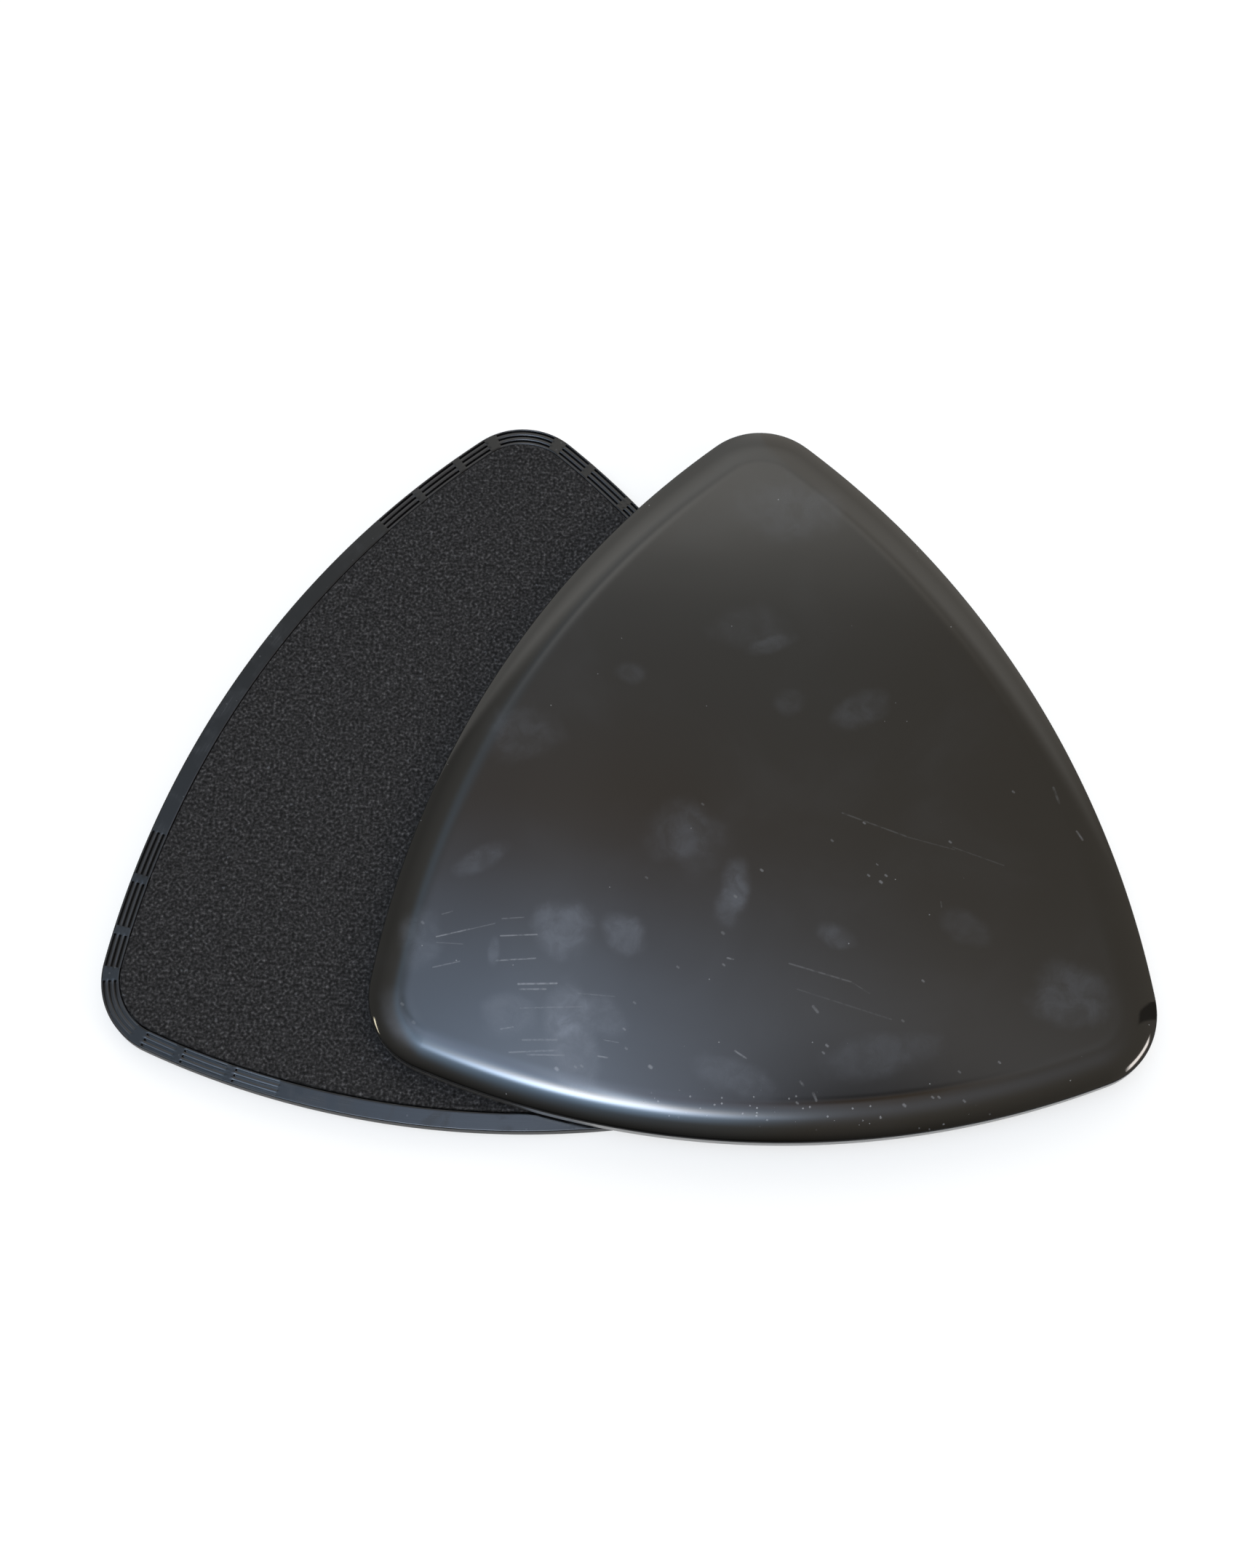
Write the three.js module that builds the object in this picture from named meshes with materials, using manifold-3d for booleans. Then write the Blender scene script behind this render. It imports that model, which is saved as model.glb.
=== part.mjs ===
// A pair of gliding discs for floor exercise, in millimetres with +Z up.
// Seen square to its face, each disc is a triangle with bowed sides and round corners. A moulded
// shell has a flat glide face, a rolled edge and a short upright lip. A foam pad is glued into a
// pocket in its back, and the rim round the pocket is cored with grooves at the corners.
// The lower disc rests on its glide face, pad up. The upper disc lies pad down on top of it,
// set off to one side and turned a little.
import * as THREE from "three";
import { mergeVertices } from "three/addons/utils/BufferGeometryUtils.js";
import Module from "manifold-3d";

const wasm = await Module();
wasm.setup();

// Outline of a disc
const CORNERS = 3;
const CORNER_REACH = 105; // centre of the disc to the centre of a corner arc
const CORNER_RADIUS = 22.8;
const SIDE_RADIUS = 271.5; // a side arc runs into both its corner arcs without a kink

// Shell
const ROLL_WIDTH = 10.2; // how far the rolled edge reaches in from the outline
const ROLL_DROP = 3; // how far it falls, as an arc, from the glide face to the lip
const LIP_HEIGHT = 5; // upright wall between the roll and the rim
const RIM_CHAMFER = 0.3; // breaks the rim's outer and inner edge
const SKIN = 2.4; // plastic between the glide face and the floor of the pad's pocket

// Grooves that core the rim, counted from the outline inwards
const GROOVE_COUNT = 3;
const GROOVE_WIDTH = 0.7;
const GROOVE_DEPTH = 2;
const OUTER_LAND = 0.55; // plastic outside the first groove
const MIDDLE_LAND = 0.95; // plastic between two grooves
const INNER_LAND = 0.85; // plastic between the last groove and the pocket

// Runs of grooves along the outline, outwards from the middle of a corner, with ties between
const MIDDLE_RUN = 19.6; // turns the corner
const WIDE_TIE = 4.6; // plastic left across all the grooves, to either side of the middle run
const NEAR_RUN = 9.8;
const NARROW_TIE = 2.7; // before each of the far runs
const FAR_RUN = 13.6;

// Foam pad and the film that glues it
const PAD_CLEARANCE = 0.2; // between the pad and the pocket's wall
const PAD_PROUD = 0.8; // how far the pad stands above the rim
const PAD_CHAMFER = 0.4;
const FILM_THICKNESS = 0.2;
const FILM_MARGIN = 1; // the film stops short of the pad's edge

// The pair
const STACK_GAP = 0.3; // between the two pads
const UPPER_SHIFT = 77.7; // of the upper disc across the lower one
const UPPER_RETREAT = 0.8; // and away from the lower one's far corner
const UPPER_TURN = THREE.MathUtils.degToRad(1.4);

// Facets
const CORNER_STEPS = 12;
const SIDE_STEPS = 18;
const ROLL_STEPS = 7;
const LONGEST_FACET = 6; // along a groove
const SHARPEST_FACET = THREE.MathUtils.degToRad(9); // turn of a groove within one facet
const OVERRUN = 1; // of a cut past the face that it opens

// Sizes that follow
const halfTurn = Math.PI / CORNERS;
const halfChord = CORNER_REACH * Math.sin(halfTurn);
const chordReach = CORNER_REACH * Math.cos(halfTurn);
const sideCentreReach = Math.sqrt((SIDE_RADIUS - CORNER_RADIUS) ** 2 - halfChord ** 2) - chordReach;
const sideHalfAngle = Math.atan2(halfChord, chordReach + sideCentreReach);
const cornerHalfAngle = halfTurn - sideHalfAngle;
const cornerHalfLength = CORNER_RADIUS * cornerHalfAngle;
const sideHalfLength = SIDE_RADIUS * sideHalfAngle;
const groovePitch = GROOVE_WIDTH + MIDDLE_LAND;
const rimWidth = OUTER_LAND + GROOVE_COUNT * groovePitch - MIDDLE_LAND + INNER_LAND;
const shellHeight = LIP_HEIGHT + ROLL_DROP;
const pocketDepth = shellHeight - SKIN;
const padInset = rimWidth + PAD_CLEARANCE;
const rollRadius = (ROLL_WIDTH ** 2 + ROLL_DROP ** 2) / (2 * ROLL_DROP);
const rollAngle = Math.asin(ROLL_WIDTH / rollRadius);

// Place on an arc of the outline: the point, and the direction square to the outline there
function onArc(reach, heading, radius, angle) {
  const outward = new THREE.Vector2(Math.cos(angle), Math.sin(angle));
  const centre = new THREE.Vector2(Math.cos(heading), Math.sin(heading)).multiplyScalar(reach);
  return { point: centre.addScaledVector(outward, radius), outward };
}

// Place at a length along the outline from the middle of a corner, anticlockwise if positive
function station(corner, length) {
  const way = Math.sign(length);
  const heading = Math.PI / 2 + 2 * halfTurn * corner;
  const onSide = Math.abs(length) - cornerHalfLength;
  if (onSide <= 0) {
    return onArc(CORNER_REACH, heading, CORNER_RADIUS, heading + length / CORNER_RADIUS);
  }
  const side = heading + way * halfTurn;
  const angle = side - way * (sideHalfAngle - onSide / SIDE_RADIUS);
  return onArc(-sideCentreReach, side, SIDE_RADIUS, angle);
}

// Places all the way round the outline
function outlineStations() {
  const places = [];
  for (let corner = 0; corner < CORNERS; corner += 1) {
    for (let step = 0; step < CORNER_STEPS; step += 1) {
      places.push(station(corner, cornerHalfLength * ((2 * step) / CORNER_STEPS - 1)));
    }
    for (let step = 0; step < SIDE_STEPS; step += 1) {
      places.push(station(corner, cornerHalfLength + (2 * sideHalfLength * step) / SIDE_STEPS));
    }
  }
  return places;
}

// The point that lies inset from the outline at a station, at height z
function inside({ point, outward }, inset, z) {
  return new THREE.Vector3(point.x - inset * outward.x, point.y - inset * outward.y, z);
}

// A closed surface through rings of points, with a flat face across the first and the last.
// The rings turn anticlockwise when seen from the last towards the first.
function skin(rings) {
  const count = rings[0].length;
  const ends = [rings[0], rings.at(-1)].map((ring) =>
    ring.reduce((sum, p) => sum.add(p), new THREE.Vector3()).divideScalar(count),
  );
  const index = [];
  const first = rings.length * count;
  const top = first - count;
  for (let i = 0; i < count; i += 1) {
    const next = (i + 1) % count;
    index.push(first, next, i, first + 1, top + i, top + next);
    for (let row = 0; row < top; row += count) {
      index.push(row + i, row + next, row + count + next);
      index.push(row + i, row + count + next, row + count + i);
    }
  }
  return new THREE.BufferGeometry().setFromPoints([...rings.flat(), ...ends]).setIndex(index);
}

// A body whose edge is the outline, turned through a profile of insets and heights
function turned(profile) {
  const places = outlineStations();
  return skin(profile.map(([inset, z]) => places.map((place) => inside(place, inset, z))));
}

// A groove along the outline, open at the rim
function groove(corner, from, to, inset) {
  const turn = Math.min(to, cornerHalfLength) - Math.max(from, -cornerHalfLength);
  const bend = Math.max(turn, 0) / CORNER_RADIUS;
  const steps = Math.ceil(Math.max((to - from) / LONGEST_FACET, bend / SHARPEST_FACET));
  const rings = [];
  for (let step = 0; step <= steps; step += 1) {
    const place = station(corner, THREE.MathUtils.lerp(from, to, step / steps));
    rings.push([
      inside(place, inset + GROOVE_WIDTH, -OVERRUN),
      inside(place, inset + GROOVE_WIDTH, GROOVE_DEPTH),
      inside(place, inset, GROOVE_DEPTH),
      inside(place, inset, -OVERRUN),
    ]);
  }
  return skin(rings);
}

// Where the grooves of a corner start and stop: one run turns it, and three lie to either side
function grooveRuns() {
  let reached = MIDDLE_RUN / 2;
  const runs = [[-reached, reached]];
  for (const [tie, length] of [
    [WIDE_TIE, NEAR_RUN],
    [NARROW_TIE, FAR_RUN],
    [NARROW_TIE, FAR_RUN],
  ]) {
    const start = reached + tie;
    reached = start + length;
    runs.push([start, reached], [-reached, -start]);
  }
  return runs;
}

// A geometry as a solid that can be cut
function toSolid(geometry) {
  const merged = mergeVertices(geometry);
  return new wasm.Manifold(
    new wasm.Mesh({
      numProp: 3,
      vertProperties: merged.attributes.position.array,
      triVerts: new Uint32Array(merged.index.array),
    }),
  );
}

// A cut solid as a geometry again
function toGeometry(solid) {
  const mesh = solid.getMesh();
  const geometry = new THREE.BufferGeometry();
  geometry.setAttribute("position", new THREE.BufferAttribute(mesh.vertProperties, 3));
  geometry.setIndex(new THREE.BufferAttribute(mesh.triVerts, 1));
  return geometry;
}

// The shell, glide face up, with its rim in the plane z = 0
function shellGeometry() {
  const profile = [
    [rimWidth, pocketDepth],
    [rimWidth, RIM_CHAMFER],
    [rimWidth - RIM_CHAMFER, 0],
    [RIM_CHAMFER, 0],
    [0, RIM_CHAMFER],
  ];
  for (let step = 0; step <= ROLL_STEPS; step += 1) {
    const angle = rollAngle * (1 - step / ROLL_STEPS);
    profile.push([
      ROLL_WIDTH - rollRadius * Math.sin(angle),
      shellHeight - rollRadius * (1 - Math.cos(angle)),
    ]);
  }
  let solid = toSolid(turned(profile));
  for (let corner = 0; corner < CORNERS; corner += 1) {
    for (const [from, to] of grooveRuns()) {
      for (let row = 0; row < GROOVE_COUNT; row += 1) {
        const cut = groove(corner, from, to, OUTER_LAND + row * groovePitch);
        solid = solid.subtract(toSolid(cut));
      }
    }
  }
  return toGeometry(solid);
}

// The foam pad: its free face stands proud of the rim, its other face is glued
function padGeometry() {
  return turned([
    [padInset + PAD_CHAMFER, -PAD_PROUD],
    [padInset, PAD_CHAMFER - PAD_PROUD],
    [padInset, pocketDepth - FILM_THICKNESS],
  ]);
}

// The adhesive film between the pad and the floor of the pocket
function filmGeometry() {
  const inset = padInset + FILM_MARGIN;
  return turned([
    [inset, pocketDepth - FILM_THICKNESS],
    [inset, pocketDepth],
  ]);
}

const glossBlack = new THREE.MeshStandardMaterial({ color: 0x121211, roughness: 0.16, metalness: 0 });
const charcoalFoam = new THREE.MeshStandardMaterial({ color: 0x2b2c2f, roughness: 0.95, metalness: 0 });
const clearFilm = new THREE.MeshStandardMaterial({ color: 0xcfcabb, roughness: 0.5, metalness: 0 });

const pieces = [
  ["shell", shellGeometry(), glossBlack],
  ["pad_film", filmGeometry(), clearFilm],
  ["foam_pad", padGeometry(), charcoalFoam],
];

// One disc, glide face up, with its rim in the plane z = 0 of its group
function disc(place) {
  const group = new THREE.Group();
  for (const [name, geometry, material] of pieces) {
    const mesh = new THREE.Mesh(geometry, material);
    mesh.name = `${place}_${name}`;
    group.add(mesh);
  }
  return group;
}

const lower = disc("lower");
lower.rotation.y = Math.PI;
lower.position.z = shellHeight;

const upper = disc("upper");
upper.rotation.z = UPPER_TURN;
upper.position.set(UPPER_SHIFT, -UPPER_RETREAT, shellHeight + PAD_PROUD + STACK_GAP + PAD_PROUD);

const pair = new THREE.Group();
pair.add(lower, upper);

export default pair;
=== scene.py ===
"""Dresses a pair of gliding discs: glossy moulded shells with foam pads glued into their backs.

The lower disc lies on its glide face with its pad up, and the upper disc lies on it, pad down.
Lengths are in metres, but for the marks on the glide faces, which are in millimetres. A disc is
first worked out in its own frame, glide face up, with its rim in the plane z = 0 and the middle
of one corner towards +Y, and is then put into its seat.
"""
import logging
import math
from dataclasses import dataclass, field
from enum import Enum
from typing import Any, Sequence

import bpy
import numpy as np
from mathutils import Matrix, Vector


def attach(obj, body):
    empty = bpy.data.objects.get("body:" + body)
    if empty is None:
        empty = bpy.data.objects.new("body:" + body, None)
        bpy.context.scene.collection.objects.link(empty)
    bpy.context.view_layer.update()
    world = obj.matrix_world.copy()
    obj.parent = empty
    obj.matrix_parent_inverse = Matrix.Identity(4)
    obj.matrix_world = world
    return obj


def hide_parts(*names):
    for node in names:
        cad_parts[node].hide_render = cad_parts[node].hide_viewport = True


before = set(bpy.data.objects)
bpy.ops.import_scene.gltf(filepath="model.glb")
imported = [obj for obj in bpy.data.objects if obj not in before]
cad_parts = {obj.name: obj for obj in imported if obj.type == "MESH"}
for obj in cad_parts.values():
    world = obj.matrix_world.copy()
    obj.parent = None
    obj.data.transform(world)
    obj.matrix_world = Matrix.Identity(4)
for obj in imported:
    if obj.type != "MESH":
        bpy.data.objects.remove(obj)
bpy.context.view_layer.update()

LOG = logging.getLogger("gliding_discs")
MM = 0.001
SHARP_ANGLE = math.radians(30)
EDGE_INSET = "edge_inset"
GROOVED = "grooved"
Colour = tuple[float, float, float]
Pair = tuple[float, float]
Point = tuple[float, float, float]


class Place(Enum):
    """Which disc of the pair."""

    LOWER = "lower"
    UPPER = "upper"


class ShellFace(Enum):
    """The finishes on a shell, as places in its list of materials."""

    GLOSS = 0
    RIM = 1
    LIP = 2
    SEAM = 3


@dataclass(frozen=True)
class Outline:
    """A triangle with bowed sides and round corners, all of tangent arcs.

    A side arc's centre lies across the middle from its side, as far as makes the distance between
    the centres of a side arc and a corner arc equal to the difference of their radii.
    """

    corners: int = 3
    corner_reach: float = 105 * MM
    corner_radius: float = 22.8 * MM
    side_radius: float = 271.5 * MM

    @property
    def half_chord(self) -> float:
        """Half the distance between the centres of two corner arcs."""
        return self.corner_reach * math.sin(math.pi / self.corners)

    @property
    def chord_reach(self) -> float:
        """Distance from the disc's centre to the middle of that chord."""
        return self.corner_reach * math.cos(math.pi / self.corners)

    @property
    def side_centre_reach(self) -> float:
        """How far behind the disc's centre a side arc has its centre."""
        radius = self.side_radius - self.corner_radius
        return math.sqrt(radius**2 - self.half_chord**2) - self.chord_reach

    @property
    def side_half_angle(self) -> float:
        """Half the angle that a side arc turns through."""
        return math.atan2(self.half_chord, self.chord_reach + self.side_centre_reach)

    @property
    def corner_half_length(self) -> float:
        """Length along the outline from the middle of a corner to the end of its arc."""
        return self.corner_radius * (math.pi / self.corners - self.side_half_angle)

    @property
    def share_length(self) -> float:
        """Length along the outline from the middle of one corner to the middle of the next."""
        return 2 * (self.corner_half_length + self.side_radius * self.side_half_angle)

    @property
    def length(self) -> float:
        """Length of the whole outline."""
        return self.corners * self.share_length

    def from_corner(self, lengths: np.ndarray) -> tuple[np.ndarray, np.ndarray]:
        """Splits lengths along the outline into the nearest corner and the length from it.

        Args:
            lengths: lengths anticlockwise from the middle of the first corner.

        Returns:
            The number of the nearest corner, and the signed length from its middle.
        """
        corner = np.round(lengths / self.share_length)
        return corner, lengths - corner * self.share_length

    def stations(self, lengths: np.ndarray) -> tuple[np.ndarray, np.ndarray]:
        """Points of the outline, and the directions square to it.

        On a corner arc the direction is the corner's heading plus length over radius. On a side
        arc it is the side's heading less the angle that is still to go to the side's middle. The
        point is the arc's centre plus its radius times the direction.

        Args:
            lengths: lengths anticlockwise from the middle of the first corner.

        Returns:
            Points and outward unit directions, each of shape (number of lengths, 2).
        """
        corner, local = self.from_corner(lengths)
        turn = math.pi / self.corners
        way = np.sign(local)
        heading = math.pi / 2 + 2 * turn * corner
        along_side = np.abs(local) - self.corner_half_length
        on_corner = along_side <= 0
        side_heading = heading + way * turn
        side_angle = side_heading - way * (self.side_half_angle - along_side / self.side_radius)
        angle = np.where(on_corner, heading + local / self.corner_radius, side_angle)
        reach = np.where(on_corner, self.corner_reach, -self.side_centre_reach)
        centre_heading = np.where(on_corner, heading, side_heading)
        radius = np.where(on_corner, self.corner_radius, self.side_radius)
        outward = np.stack([np.cos(angle), np.sin(angle)], axis=1)
        centre = np.stack([np.cos(centre_heading), np.sin(centre_heading)], axis=1)
        return centre * reach[:, None] + outward * radius[:, None], outward


@dataclass(frozen=True)
class RimGrooves:
    """Grooves that core the rim at the corners, in runs with ties between them."""

    count: int = 3
    width: float = 0.7 * MM
    depth: float = 2 * MM
    outer_land: float = 0.55 * MM
    middle_land: float = 0.95 * MM
    inner_land: float = 0.85 * MM
    draft: float = 0.03 * MM
    edge_round: float = 0.07 * MM
    edge_drop_share: float = 0.02
    runs: tuple[tuple[float, float], ...] = (
        (-9.8 * MM, 9.8 * MM),
        (14.4 * MM, 24.2 * MM),
        (26.9 * MM, 40.5 * MM),
        (43.2 * MM, 56.8 * MM),
    )
    end_draft: float = 0.06 * MM

    @property
    def rim_width(self) -> float:
        """Width of the rim: the grooves and all the lands."""
        lands = self.outer_land + (self.count - 1) * self.middle_land + self.inner_land
        return lands + self.count * self.width

    def open_at(self, from_corner: np.ndarray) -> np.ndarray:
        """Where the grooves are open.

        Args:
            from_corner: lengths along the outline from the middle of the nearest corner.

        Returns:
            1 within a run, and 0 elsewhere.
        """
        away = np.abs(from_corner)
        inside = [(away > start) & (away < end) for start, end in self.runs]
        return np.any(inside, axis=0).astype(float)

    def ends(self) -> np.ndarray:
        """Works out where columns stand beside the ends of the runs.

        Returns:
            Lengths from the middle of a corner, just inside and just outside each end of a run.
        """
        edges = np.unique(np.abs(np.array(self.runs)))
        shifts = np.array([-self.end_draft, self.end_draft])
        near = (edges[:, None] + shifts[None, :]).ravel()
        return np.concatenate([near, -near])

    def profile(self) -> np.ndarray:
        """Rows across the grooves, from the innermost to the outermost.

        Returns:
            Rows of inset from the outline and share of the groove's full depth.
        """
        rows = []
        for number in reversed(range(self.count)):
            outer = self.outer_land + number * (self.width + self.middle_land)
            inner = outer + self.width
            rows += [
                (inner + self.edge_round, 0),
                (inner, self.edge_drop_share),
                (inner - self.draft, 1),
                (outer + self.draft, 1),
                (outer, self.edge_drop_share),
                (outer - self.edge_round, 0),
            ]
        return np.array(rows)


@dataclass(frozen=True)
class Section:
    """The shell's section square to its outline."""

    roll_width: float = 10.2 * MM
    roll_drop: float = 3 * MM
    lip_height: float = 5 * MM
    skin: float = 2.4 * MM
    rim_round: float = 0.35 * MM
    lip_round: float = 0.7 * MM
    blend: float = 2.5 * MM
    roll_steps: int = 40
    round_steps: int = 5

    @property
    def height(self) -> float:
        """Height of the glide face above the rim."""
        return self.lip_height + self.roll_drop

    @property
    def pocket_depth(self) -> float:
        """Height of the pocket's floor above the rim."""
        return self.height - self.skin

    def arc(
        self, centre: tuple[float, float], radius: float, start: float, end: float
    ) -> np.ndarray:
        """A round in the section: centre plus radius times sine and cosine of an angle.

        Args:
            centre: inset and height of its centre.
            radius: its radius.
            start: its first angle in degrees, from straight up towards the outline.
            end: its last angle in degrees.

        Returns:
            Rows of inset and height.
        """
        angle = np.radians(np.linspace(start, end, self.round_steps + 1))
        inset = centre[0] - radius * np.sin(angle)
        return np.stack([inset, centre[1] + radius * np.cos(angle)], axis=1)

    def roll(self) -> np.ndarray:
        """The lip's upper round and the rolled edge up to the glide face.

        The roll is an arc whose top is level with the face, so its radius is (width squared plus
        drop squared) over twice the drop. The small round is tangent to it from inside and to
        the upright lip. Within the blend to either side of the arc's top, its curve sets in
        gradually: the surface sinks below arc and face by (t + b) cubed over 12 b r, less t
        squared over 2 r where t is positive, with t the distance outwards from the arc's top, b
        the blend and r the radius.

        Returns:
            Rows of inset and height.
        """
        big = (self.roll_width**2 + self.roll_drop**2) / (2 * self.roll_drop)
        small = self.lip_round
        middle = (self.roll_width, self.height - big)
        across = (self.roll_width - small) / (big - small)
        meeting = math.asin(across)
        centre = (small, middle[1] + (big - small) * math.cos(meeting))
        tight = self.arc(centre, small, 90, math.degrees(meeting))
        outwards = np.linspace(big * math.sin(meeting), -self.blend, self.roll_steps + 1)[1:]
        arc_height = middle[1] + np.sqrt(big**2 - np.maximum(outwards, 0) ** 2)
        blended = np.clip(outwards + self.blend, 0, None) ** 3 / (12 * self.blend * big)
        blended -= np.maximum(outwards, 0) ** 2 / (2 * big)
        sunk = np.where(outwards > self.blend, self.blend**2 / (6 * big), blended)
        wide = np.stack([self.roll_width - outwards, arc_height - sunk], axis=1)
        return np.concatenate([tight - [0, self.blend**2 / (6 * big)], wide])


@dataclass(frozen=True)
class PadSizes:
    """The foam pad in its pocket."""

    clearance: float = 0.2 * MM
    proud: float = 0.8 * MM
    film: float = 0.2 * MM
    edge_round: float = 0.5 * MM
    swell: float = 0.07 * MM
    waves: tuple[tuple[float, float, float], ...] = (
        (61.0, 23.0, 0.4),
        (-37.0, 71.0, 1.9),
        (113.0, -89.0, 3.1),
        (29.0, 151.0, 5.0),
    )
    fill: float = 1.0


@dataclass(frozen=True)
class Seat:
    """Where a disc lies: turned over or not, turned about +Z, and moved."""

    turned_over: bool
    turn_degrees: float
    shift: Point

    def put(self, points: np.ndarray) -> np.ndarray:
        """Points of a disc in the pair's frame.

        A disc that is turned over has x and z negated, which is half a turn about Y.

        Args:
            points: points in the disc's own frame, of shape (any, 3).

        Returns:
            The same points in the pair's frame.
        """
        placed = points * ([-1, 1, -1] if self.turned_over else [1, 1, 1])
        turn = math.radians(self.turn_degrees)
        cosine, sine = math.cos(turn), math.sin(turn)
        spin = np.array([[cosine, sine, 0], [-sine, cosine, 0], [0, 0, 1]])
        return placed @ spin + np.array(self.shift)


def surface_mesh(
    name: str, rings: np.ndarray, poles: Sequence[np.ndarray], finish_rows: np.ndarray
) -> bpy.types.Mesh:
    """A closed mesh through rings of points, with a pole at either end.

    A quad joins each two neighbours of a ring to the same two of the next ring, and triangles
    join each pole to the ring beside it.

    Args:
        name: name of the mesh.
        rings: points of shape (rows, columns, 3), anticlockwise seen from the last ring.
        poles: the points that close the first and the last ring.
        finish_rows: number of the material of each row of quads.

    Returns:
        The mesh, with its steep edges sharp.
    """
    rows, columns, _ = rings.shape
    points = np.concatenate([rings.reshape(-1, 3), np.stack(poles)])
    row = np.arange(rows - 1)[:, None] * columns
    here = np.arange(columns)[None, :]
    after = (here + 1) % columns
    quads = np.stack([row + here, row + after, row + columns + after, row + columns + here], axis=2)
    first = rows * columns
    top = first - columns
    fan = np.stack([np.full(columns, first), after[0], here[0]], axis=1)
    cap = np.stack([np.full(columns, first + 1), top + here[0], top + after[0]], axis=1)
    loops = np.concatenate([quads.ravel(), fan.ravel(), cap.ravel()])
    sizes = np.concatenate([np.full(quads.shape[0] * columns, 4), np.full(2 * columns, 3)])
    starts = np.concatenate([[0], np.cumsum(sizes)[:-1]])
    finishes = np.concatenate([
        np.repeat(finish_rows, columns),
        np.full(columns, finish_rows[0]),
        np.full(columns, finish_rows[-1]),
    ])
    mesh = bpy.data.meshes.new(name)
    mesh.vertices.add(len(points))
    mesh.vertices.foreach_set("co", points.astype(np.float32).ravel())
    mesh.loops.add(len(loops))
    mesh.loops.foreach_set("vertex_index", loops.astype(np.int32))
    mesh.polygons.add(len(sizes))
    mesh.polygons.foreach_set("loop_start", starts.astype(np.int32))
    mesh.polygons.foreach_set("material_index", finishes.astype(np.int32))
    mesh.update(calc_edges=True)
    mesh.validate()
    mesh.polygons.foreach_set("use_smooth", np.ones(len(sizes), bool))
    mesh.set_sharp_from_angle(angle=SHARP_ANGLE)
    return mesh


def add_piece(
    name: str, mesh: bpy.types.Mesh, finishes: Sequence[bpy.types.Material]
) -> bpy.types.Object:
    """An object at the origin that shows a mesh.

    Args:
        name: name of the piece.
        mesh: its mesh.
        finishes: its materials, in the order that the mesh numbers them.

    Returns:
        The object, linked to the scene.
    """
    for finish in finishes:
        mesh.materials.append(finish)
    piece = bpy.data.objects.new(name, mesh)
    bpy.context.scene.collection.objects.link(piece)
    return piece


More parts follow.
